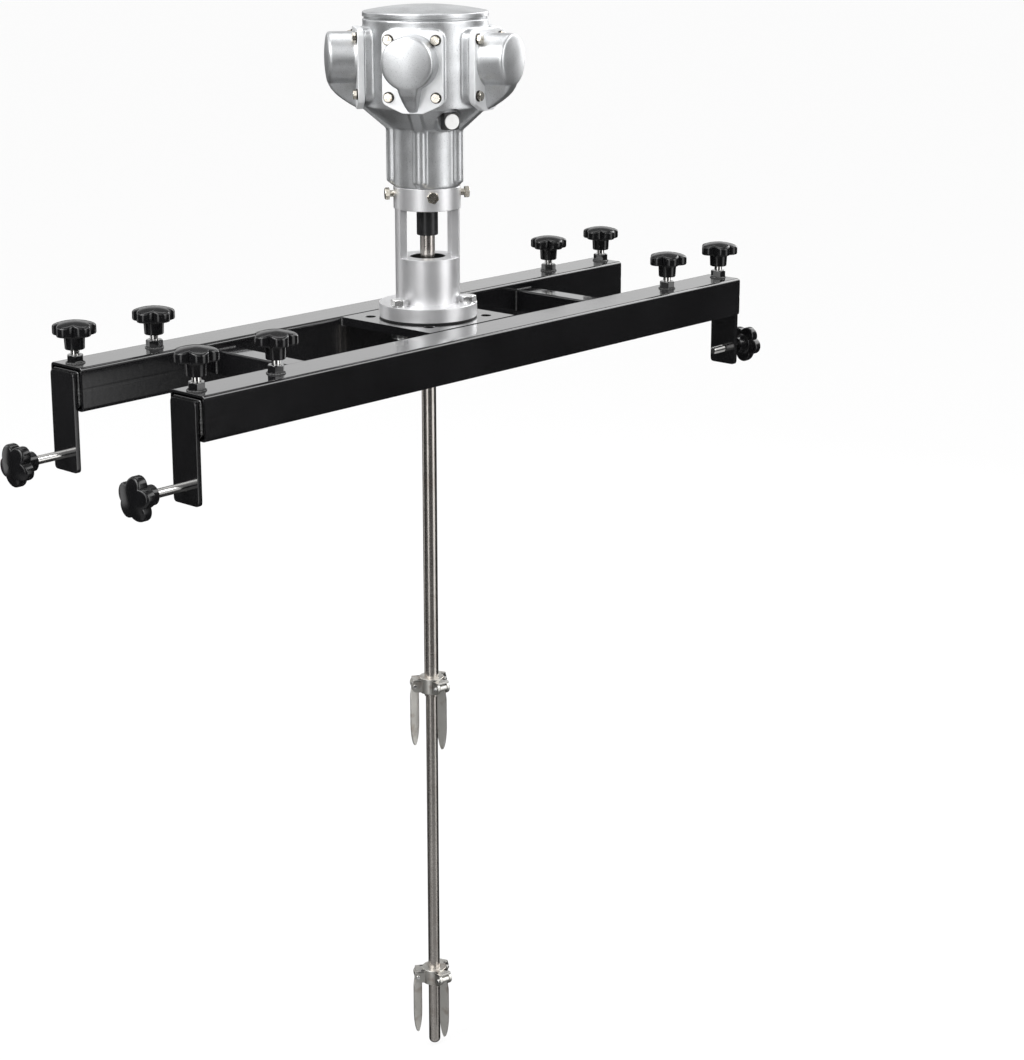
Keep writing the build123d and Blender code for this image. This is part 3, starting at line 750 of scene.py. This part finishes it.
hollows = [lathe([(47, 262), (47, 380)], 96), lathe([(14, 130), (14, 270)], 64), lathe([(20, 120), (20, 150)], 64),
           lathe([(22, 250), (22, 270)], 64)]
flat = lathe([(15.5, 60), (15.5, 85)], 48)
port = lathe([(8.5, 38), (8.5, 62)], 40)
for a in portAngles:
    place = turnedAbout("Z", a) @ moved(0, 0, v["portZ"]) @ onSide
    hollows += [(flat, place), (port, place)]
casting = cut(casting, joined(hollows))
makePiece("motorCasting", casting, "frame", castAluminium, ["crankcase"], 50, False)
print("casting made", len(casting.polygons))

coverValues = {"radius": 75.4, "low": 363, "rim": 369, "top": 377, "neck": 73, "spigot": 46.7, "pocket": 17.5}
v = coverValues
profile = [(0.3, 359), (v["pocket"], 359), (v["pocket"], 349), (v["spigot"], 349), (v["spigot"], 361), (v["neck"], 361),
           (v["neck"], v["low"]), (v["radius"], v["low"], 0.8), (v["radius"], v["rim"], 2.2)]
sphere = (75.4 ** 2 + 8 ** 2) / 16
for k in range(1, 14):
    r = v["radius"] * (1 - k / 14)
    profile.append((r, v["top"] - sphere + math.sqrt(sphere ** 2 - r ** 2)))
profile.append((0.3, v["top"]))
cover = lathe(roundCorners(profile, 0, 4, closed=False), 144)
makePiece("topCover", cover, "frame", castAluminium, ["top_cover"], 40)

# cylinder heads: a crisp plate with a cast cap and duct fused on it
headValues = {"face": 77, "plate": 85, "width": 72, "height": 88, "corner": 11, "cap": 31, "capZ": 315, "capEnd": 121,
              "dome": 2.6, "tongue": 52, "duct": 24, "ductEnd": 11, "voxel": 1.2, "passes": 6}
v = headValues
across, halfHigh = v["width"] / 2, v["height"] / 2
outline = roundCorners([(-halfHigh, -across, v["corner"]), (-halfHigh, across, v["corner"]), (halfHigh - 3, across, 9),
                        (v["tongue"], 12, 6), (v["tongue"], -12, 6), (halfHigh - 3, -across, 9)], v["corner"], 6)
flangePlate = softened(prism(outline, v["face"], v["plate"]), 1.2, 3)
rim = v["capEnd"] - v["dome"]
capProfile = [(v["cap"] + 1.5, v["plate"] - 2), (v["cap"] + 1.5, v["plate"]), (v["cap"], v["plate"] + 2)]
capProfile += [(v["cap"], rim - 3.5), (v["cap"] - 0.6, rim - 1.7), (v["cap"] - 2.0, rim - 0.4), (v["cap"] - 3.4, rim)]
capProfile += [(r, v["capEnd"] - v["dome"] * (r / (v["cap"] - 3.4)) ** 2) for r in (23, 18, 13, 7, 0.3)]
cap = lathe(capProfile, 80)
along = moved(0, 0, 307) @ onSide


def ductRing(z, outX, inX, width):
    w, lean = width / 2, 2.5
    return [Vector((inX, -w, z)), Vector((outX - lean, -w, z)), Vector((outX, -w + lean, z)), Vector((outX, w - lean, z)),
            Vector((outX - lean, w, z)), Vector((inX, w, z))]


# height, outer face, inner face, and how far the width departs from the duct's own
ductStations = [(306, 116, 80, 4), (290, 117.6, 80, 1), (284, 116.8, 79.6, -1), (278, 113.5, 79.2, -3.5),
                (272, 108, 78.6, -6), (266, 100.5, 78.2, -8.5), (260, 91.5, 77.5, -11)]
duct = loft([ductRing(z, outX, inX, v["duct"] + wider) for z, outX, inX, wider in ductStations]
            + [ductRing(255.4, 83, 77.2, v["ductEnd"])])
capAlong = moved(0, 0, v["capZ"]) @ onSide
capAndDuct = fused(joined([(cap, capAlong), duct]), v["voxel"], v["passes"])
plateHere = joined([(flangePlate, along)])
for label, part, material, stands in (("cylinderHeads", capAndDuct, castAluminium, ["cylinder_heads"]),
                                      ("headPlates", plateHere, headFace, [])):
    heads = grown(part, ringOfParts, Material=material, **fiveAround)
    makePiece(label, heads, "frame", material, stands, 45)

headBoltValues = {"flats": 10, "head": 4.0, "shank": 3.0, "washer": 6.5, "washerThick": 1.5, "chamfer": 0.8, "across": 28,
                  "up": 33}
v = headBoltValues
headBolt = hexBolt(v["flats"], v["head"] + v["washerThick"], v["shank"], 20, v["chamfer"])
# the washers take the near-black finish as painted shade, a dark ring around each head bolt
washer = lathe(roundCorners([(v["shank"], 0), (v["washer"], 0), (v["washer"], v["washerThick"]),
                             (v["shank"], v["washerThick"])], 0.35, 2), 40, hollow=True)
fourBolts, fourWashers = [], []
for i, (y, z) in enumerate([(-1, -1), (1, -1), (-1, 1), (1, 1)]):
    spot = turnedAbout("Y", 90, (85, y * v["across"], 307 + z * v["up"]))
    fourBolts.append((headBolt, spot @ Matrix.Rotation(0.35 * i, 4, "Z")))
    fourWashers.append((washer, spot))
for label, four, material, stands in (("headBolts", fourBolts, zincSteel, ["head_bolts"]),
                                      ("headWashers", fourWashers, washerShadeSteel, [])):
    twenty = grown(joined(four), ringOfParts, Material=material, **fiveAround)
    makePiece(label, twenty, "frame", material, stands)

plugValues = {"angle": 249, "block": 20, "disc": 9, "start": 60}
v = plugValues
plugBody = prism(roundedRectangle(v["block"], v["block"], 2.0, 3), v["start"] - 0.2, v["start"] + v["block"] / 2)
plugBody = softened(plugBody, 0.8, 2)
plugShank = lathe([(7.8, 47), (8.4, 48), (8.4, 60)], 36)
disc = lathe(roundCorners([(0.3, 69), (v["disc"], 69), (v["disc"], 72), (0.3, 72)], 0.8, 3), 48)
place = turnedAbout("Z", v["angle"]) @ moved(0, 0, 244) @ onSide
makePiece("portPlug", joined([(plugBody, place), (plugShank, place)]), "frame", plugBlack, ["port_plug"])
makePiece("portPlugDisc", joined([(disc, place)]), "frame", plugWhite)
print("motor made")

# drive line
driveValues = {"sleeve": 13, "sleeveLow": 101, "sleeveTop": 133, "shaft": 9, "step": -494, "lower": 7.5, "end": -984,
               "top": 117, "slinger": 20, "slingerLow": 64}
v = driveValues
sleeve = lathe(roundCorners([(9, v["sleeveLow"]), (v["sleeve"], v["sleeveLow"], 1.2), (v["sleeve"], v["sleeveTop"], 1.2),
                             (9, v["sleeveTop"])], 0.6, 3), 72, hollow=True)
makePiece("couplingSleeve", sleeve, "drive", blackOxide, ["coupling"])
rod = [(0.3, v["end"])]
for k in range(1, 7):
    a = math.pi / 2 * k / 6
    rod.append((v["lower"] - 6 + 6 * math.sin(a), v["end"] + 6 - 6 * math.cos(a)))
rod += [(v["lower"], v["step"] - 0.5), (v["lower"] + 0.5, v["step"]), (v["shaft"] - 0.4, v["step"]),
        (v["shaft"], v["step"] + 0.5), (v["shaft"], v["top"])]
makePiece("mixingShaft", lathe(rod, 64), "drive", shaftSteel, ["mixing_shaft"])
low, high = v["slingerLow"], v["slingerLow"] + 4.5
slinger = lathe(roundCorners([(9, low), (v["slinger"], low, 0.8), (v["slinger"], high - 1.3, 1.0), (12.5, high, 0.8),
                              (9, high)], 0.4, 3), 72, hollow=True)
makePiece("shaftSlinger", slinger, "drive", sealRubber, ["shaft_slinger"])

# folding impellers
impellerValues = {"turn": 20, "upper": -478, "lower": -884, "hub": 16, "height": 20, "reach": 27, "armHeight": 17,
                  "cheek": 4, "gap": 10.6, "pivot": 22, "roof": 5.5, "roofThick": 3}
bladeValues = {"thick": 3, "pitch": -62, "knuckle": 4.6, "knuckleLength": 10, "bore": 2.5}


def impellerHub(z, bore):
    v = impellerValues
    ring = lathe(roundCorners([(bore, -v["height"] / 2), (v["hub"], -v["height"] / 2, 1.0), (v["hub"], v["height"] / 2, 1.0),
                               (bore, v["height"] / 2)], 0.6, 3), 64, hollow=True)
    r = v["armHeight"] / 2
    outline = [(13, -r), (v["reach"] - r, -r)]
    outline += [(v["reach"] - r + r * math.sin(a), -r * math.cos(a)) for a in [math.pi * k / 12 for k in range(1, 12)]]
    outline += [(v["reach"] - r, r), (13, r)]
    cheek = softened(prism(outline, -v["cheek"] / 2, v["cheek"] / 2), 0.5, 2, 50)
    parts = [ring]
    width = v["gap"] + 2 * v["cheek"]
    roof = softened(prism(roundedRectangle(v["reach"] - 14, width, 1.5, 3), v["roof"], v["roof"] + v["roofThick"]), 0.6, 2)
    for k in range(3):
        spin = turnedAbout("Z", v["turn"] + 120 * k)
        for side in (-1, 1):
            parts.append((cheek, spin @ Matrix.Translation(Vector((0, side * (v["gap"] + v["cheek"]) / 2, 0)) * mm)
                          @ Matrix.Rotation(math.pi / 2, 4, "X")))
        parts.append((roof, spin @ Matrix.Translation(Vector((12 + (v["reach"] - 14) / 2, 0, 0)) * mm)))
    hub = joined(parts)
    hub.transform(moved(0, 0, z))
    return hub


def bladeShape():
    # rings from the pin down to the tip; the root is narrow enough to fold between the cheeks
    v = bladeValues
    rings = []
    stations = [(-2.0, 8.6, 1.0), (-5, 10.2, 1.0), (-9, 11.6, 1.0), (-12.5, 12.7, 1.0), (-16, 13, 1.0), (-24, 13, 1.0),
                (-38, 13, 1.0), (-52, 13, 1.0), (-60, 12.5, 1.0), (-67, 11.2, 1.0), (-73, 9.4, 1.0), (-78, 7.0, 1.0),
                (-81, 4.8, 1.0), (-82.5, 2.8, 1.0), (-83, 1.2, 1.0)]
    for z, width, twist in stations:
        turn = Matrix.Rotation(math.radians(v["pitch"] * twist), 3, "Z")
        t, w = v["thick"] / 2, width / 2
        edge = min(0.9, w * 0.4)
        section = [(-t, -w + edge), (-t, 0), (-t, w - edge), (-t * 0.5, w - 0.15), (0, w), (t * 0.5, w - 0.15),
                   (t, w - edge), (t, 0), (t, -w + edge), (t * 0.5, -w + 0.15), (0, -w), (-t * 0.5, -w + 0.15)]
        rings.append([turn @ Vector((x, y, 0)) + Vector((0, 0, z)) for x, y in section])
    leaf = loft(rings)
    half = v["knuckleLength"] / 2
    around = [(v["bore"], -half), (v["knuckle"], -half), (v["knuckle"], half), (v["bore"], half)]
    knuckle = lathe(roundCorners(around, 0.5, 2), 36, hollow=True)
    return joined([leaf, (knuckle, Matrix.Rotation(math.pi / 2, 4, "X"))])


blade = bladeShape()
pinShape = lathe(roundCorners([(0.3, -11), (2.4, -11, 0.5), (2.4, 11, 0.5), (0.3, 11)], 0, 3, closed=False), 24)
pins = []
for name, bore in (("upper", driveValues["shaft"]), ("lower", driveValues["lower"])):
    z = impellerValues[name]
    makePiece("hub" + name.title(), impellerHub(z, bore), "drive", bladeSteel, ["hub_" + name])
    for k in range(3):
        spot = (turnedAbout("Z", impellerValues["turn"] + 120 * k, (0, 0, z))
                @ moved(impellerValues["pivot"], 0, 0))
        node = f"blade_{name}_{k + 1}"
        makePiece(node.replace("_", ""), joined([(blade, spot)]), node, bladeSteel, [node])
        pins.append((pinShape, spot @ Matrix.Rotation(math.pi / 2, 4, "X")))
makePiece("bladePins", joined(pins), "drive", brightSteel, ["blade_pins"])
print("drive line made")

# the inner pieces keep their own shape and take a finish
innerFinishes = {"crankshaft": groundSteel, "crank_bearings": groundSteel, "pistons": machinedFace,
                 "connecting_rods": machinedFace, "shaft_bushing": bushingBronze}
for node, material in innerFinishes.items():
    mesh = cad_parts[node].data
    mesh.materials.clear()
    mesh.materials.append(material)

# studio
studioValues = {"floor": -0.987, "floorHalf": 120, "glow": 0.82, "key": 45, "fill": 22, "top": 38, "rim": 26}


def lamp(name, place, target, size, power):
    data = bpy.data.lights.new(name, "AREA")
    data.shape = "RECTANGLE"
    data.size, data.size_y = size
    data.energy = power
    lampObject = bpy.data.objects.new(name, data)
    sceneNow.collection.objects.link(lampObject)
    lampObject.location = place
    aim = Vector(target) - Vector(place)
    lampObject.rotation_euler = aim.to_track_quat("-Z", "Y").to_euler()


v = studioValues
lamp("keyLamp", (-2.6, 0.6, 2.2), (0, 0, 0.1), (1.6, 1.6), v["key"])
lamp("fillLamp", (0.4, -3.0, 1.2), (0, 0, 0), (1.4, 2.2), v["fill"])
lamp("topLamp", (0.5, 0.8, 3.2), (0, 0, 0), (2.5, 2.5), v["top"])
lamp("rimLamp", (2.6, 0.2, 1.0), (0, 0, 0.1), (0.8, 2.4), v["rim"])

# softboxes of the studio: azimuth, half width, lowest and highest sine of the elevation, soft edge, strength
softboxes = {
    "backdrop": (42, 70, 0.07, 0.42, 0.06, 0.85),
    "rightStrip": (291, 14, -0.36, 0.75, 0.06, 1.9),
    "narrowStrip": (197, 8, -0.30, 0.8, 0.06, 2.6),
    "leftStrip": (108, 9, -0.36, 0.7, 0.06, 1.0),
    "highFront": (205, 40, 0.15, 0.8, 0.15, 1.0),
    "highRight": (332, 24, 0.40, 0.68, 0.05, 4.0),
    "highLeft": (165, 36, 0.36, 0.75, 0.08, 2.0),
    "lowFront": (225, 80, -1.1, -0.40, 0.08, 0.45),
}
skyValues = {"low": 0.03, "high": 0.35, "from": -0.05, "to": 0.9}
world = bpy.data.worlds.new("studio")
sceneNow.world = world
world.use_nodes = True
n, link = world.node_tree.nodes, world.node_tree.links.new
where = n.new("ShaderNodeTexCoord")
split = n.new("ShaderNodeSeparateXYZ")
link(where.outputs["Generated"], split.inputs[0])
level = n.new("ShaderNodeVectorMath"); level.operation = "MULTIPLY"; level.inputs[1].default_value = (1, 1, 0)
level2 = n.new("ShaderNodeVectorMath"); level2.operation = "NORMALIZE"
link(where.outputs["Generated"], level.inputs[0])
link(level.outputs[0], level2.inputs[0])


def stepUp(source, start, end, low=0.0, high=1.0):
    node = n.new("ShaderNodeMapRange")
    node.interpolation_type = "SMOOTHSTEP"
    for label, value in (("From Min", start), ("From Max", end), ("To Min", low), ("To Max", high)):
        node.inputs[label].default_value = value
    link(source, node.inputs["Value"])
    return node.outputs[0]


def worked(operation, first, second):
    node = n.new("ShaderNodeMath")
    node.operation = operation
    for socket, value in zip(node.inputs, (first, second)):
        if isinstance(value, (int, float)):
            socket.default_value = value
        else:
            link(value, socket)
    return node.outputs[0]


total = stepUp(split.outputs["Z"], skyValues["from"], skyValues["to"], skyValues["low"], skyValues["high"])
for azimuth, half, low, high, soft, strength in softboxes.values():
    facing = n.new("ShaderNodeVectorMath")
    facing.operation = "DOT_PRODUCT"
    facing.inputs[1].default_value = (math.cos(math.radians(azimuth)), math.sin(math.radians(azimuth)), 0)
    link(level2.outputs[0], facing.inputs[0])
    edge = min(0.35 * half, 8)
    side = stepUp(facing.outputs["Value"], math.cos(math.radians(half + edge)), math.cos(math.radians(half - edge)))
    rise = stepUp(split.outputs["Z"], low - soft, low + soft)
    fall = stepUp(split.outputs["Z"], high - soft, high + soft, 1.0, 0.0)
    box = worked("MULTIPLY", worked("MULTIPLY", side, rise), worked("MULTIPLY", fall, strength))
    total = worked("ADD", total, box)
shine = n["Background"]
link(total, shine.inputs["Strength"])
white = n.new("ShaderNodeBackground")
path = n.new("ShaderNodeLightPath")
cameraMix = n.new("ShaderNodeMixShader")
link(path.outputs["Is Camera Ray"], cameraMix.inputs[0])
link(shine.outputs[0], cameraMix.inputs[1])
link(white.outputs[0], cameraMix.inputs[2])
link(cameraMix.outputs[0], n["World Output"].inputs["Surface"])
for background in (shine, white):
    background.inputs["Color"].default_value = (1, 1, 1, 1)

floorHalf = v["floorHalf"]
floorMesh = bpy.data.meshes.new("floor")
floorMesh.from_pydata([(-floorHalf, -floorHalf, v["floor"]), (floorHalf, -floorHalf, v["floor"]),
                       (floorHalf, floorHalf, v["floor"]), (-floorHalf, floorHalf, v["floor"])], [], [(0, 1, 2, 3)])
floorMaterial = bpy.data.materials.new("paleFloor")
floorMaterial.use_nodes = True
n, link = floorMaterial.node_tree.nodes, floorMaterial.node_tree.links.new
matte = n["Principled BSDF"]
matte.inputs["Base Color"].default_value = (0.82, 0.82, 0.82, 1)
matte.inputs["Roughness"].default_value = 0.9
matte.inputs["Specular IOR Level"].default_value = 0.0
glow = n.new("ShaderNodeEmission")
glow.inputs["Strength"].default_value = 1.0
path = n.new("ShaderNodeLightPath")
share = n.new("ShaderNodeMath"); share.operation = "MULTIPLY"; share.inputs[1].default_value = v["glow"]
mixer = n.new("ShaderNodeMixShader")
link(path.outputs["Is Camera Ray"], share.inputs[0])
link(share.outputs[0], mixer.inputs[0])
link(matte.outputs[0], mixer.inputs[1])
link(glow.outputs[0], mixer.inputs[2])
link(mixer.outputs[0], n["Material Output"].inputs["Surface"])
floorMesh.materials.append(floorMaterial)
floorObject = holderFor(floorMesh, "paleFloor")
floorObject.visible_glossy = False

# camera
cameraValues = {"place": (-1.922, -1.849, 0.517), "yaw": 48.32, "pitch": 13.78, "focal": 75.02, "shift": -0.10}
v = cameraValues
cameraData = bpy.data.cameras.new("camera")
cameraData.sensor_width = 36
cameraData.lens = v["focal"]
cameraData.shift_y = v["shift"]
cameraData.clip_end = 500
camera = bpy.data.objects.new("camera", cameraData)
sceneNow.collection.objects.link(camera)
camera.location = v["place"]
yaw, pitch = math.radians(v["yaw"]), math.radians(v["pitch"])
view = Vector((math.sin(yaw) * math.cos(pitch), math.cos(yaw) * math.cos(pitch), -math.sin(pitch)))
camera.rotation_euler = view.to_track_quat("-Z", "Y").to_euler()
sceneNow.camera = camera
sceneNow.view_settings.view_transform = "Standard"

print("scene ready")
